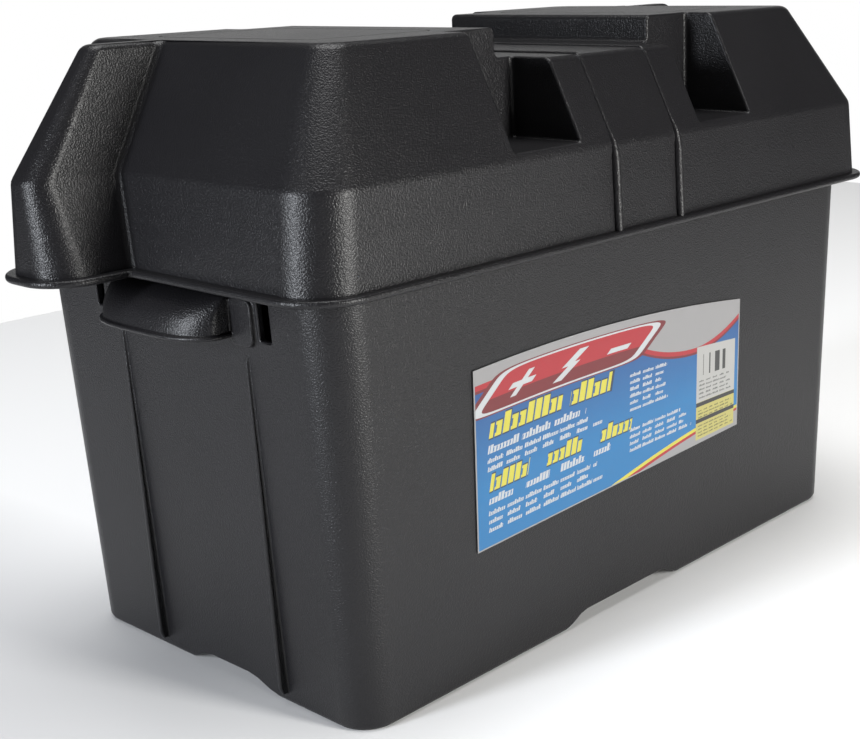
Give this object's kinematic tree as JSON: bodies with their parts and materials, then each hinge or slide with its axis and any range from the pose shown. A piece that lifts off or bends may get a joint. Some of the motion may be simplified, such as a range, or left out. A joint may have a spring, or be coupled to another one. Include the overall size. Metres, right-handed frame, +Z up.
{
  "type": "battery box with deep cycle battery",
  "caption": "Lidded plastic box that holds and vents a deep cycle battery, with moulded hand grips, cable hoods, divider and hold-down kit.",
  "frame": {"origin": "on the ground under the middle of the box, at the feet", "axes": "+X along the box's length towards its right end, +Y towards its back, on which side the cable hoods and battery terminals are, +Z up through the lid; the label faces -Y"},
  "size_m": [0.462, 0.22, 0.27],
  "materials": {
    "box_plastic": "pebble-grained black polyethylene",
    "label_film": "printed vinyl film",
    "case_plastic": "smooth black polypropylene",
    "cover_plastic": "fine-textured dark grey polypropylene",
    "cap_plastic": "moulded red polypropylene",
    "lead": "dull cast lead",
    "lead_oxide": "pasted lead dioxide",
    "separator": "microporous sheet",
    "stainless": "brushed stainless steel",
    "plated_steel": "zinc-plated steel",
    "webbing": "woven black polypropylene webbing"
  },
  "bodies": {
    "tub": {"tub": "box_plastic", "label": "label_film", "battery_case": "case_plastic", "battery_cover": "cover_plastic", "negative_terminal": "lead", "positive_terminal": "lead", "negative_stud": "stainless", "positive_stud": "stainless", "negative_washer": "stainless", "positive_washer": "stainless", "hold_down_strap": "webbing", "buckle_frame": "plated_steel", "buckle_pin": "plated_steel", "mounting_bracket_1": "stainless", "mounting_bracket_2": "stainless", "bracket_screw_1": "stainless", "bracket_screw_2": "stainless", "bracket_screw_3": "stainless", "bracket_screw_4": "stainless", "positive_plates_1": "lead_oxide", "negative_plates_1": "lead", "separators_1": "separator", "positive_plates_2": "lead_oxide", "negative_plates_2": "lead", "separators_2": "separator", "positive_plates_3": "lead_oxide", "negative_plates_3": "lead", "separators_3": "separator", "positive_plates_4": "lead_oxide", "negative_plates_4": "lead", "separators_4": "separator", "positive_plates_5": "lead_oxide", "negative_plates_5": "lead", "separators_5": "separator", "positive_plates_6": "lead_oxide", "negative_plates_6": "lead", "separators_6": "separator", "intercell_link_1": "lead", "intercell_link_2": "lead", "intercell_link_3": "lead", "intercell_link_4": "lead", "intercell_link_5": "lead"},
    "lid": {"lid": "box_plastic"},
    "divider": {"divider": "box_plastic"},
    "buckle_cam": {"buckle_cam": "plated_steel"},
    "vent_cap_1": {"vent_cap_1": "cap_plastic"},
    "vent_cap_2": {"vent_cap_2": "cap_plastic"},
    "negative_wing_nut": {"negative_wing_nut": "stainless"},
    "positive_wing_nut": {"positive_wing_nut": "stainless"}
  },
  "joints": [
    {"name": "lid_lift", "type": "slide", "parent": "tub", "child": "lid", "axis": [0, 0, 1], "range_m": [0, 0.15]},
    {"name": "divider_lift", "type": "slide", "parent": "tub", "child": "divider", "axis": [0, 0, 1], "range_m": [0, 0.08]},
    {"name": "buckle_cam_swing", "type": "hinge", "parent": "tub", "child": "buckle_cam", "pos_m": [0.1128, 0.03, 0.0145], "axis": [0, 0, -1], "range_deg": [0, 100]},
    {"name": "vent_cap_1_pull", "type": "slide", "parent": "tub", "child": "vent_cap_1", "axis": [0, 0, 1], "range_m": [0, 0.015]},
    {"name": "vent_cap_2_pull", "type": "slide", "parent": "tub", "child": "vent_cap_2", "axis": [0, 0, 1], "range_m": [0, 0.015]},
    {"name": "negative_wing_nut_turn", "type": "hinge", "parent": "tub", "child": "negative_wing_nut", "pos_m": [-0.14333, 0.024, 0.2117], "axis": [0, 0, 1], "continuous": true},
    {"name": "positive_wing_nut_turn", "type": "hinge", "parent": "tub", "child": "positive_wing_nut", "pos_m": [0.06333, 0.024, 0.2117], "axis": [0, 0, 1], "continuous": true}
  ]
}
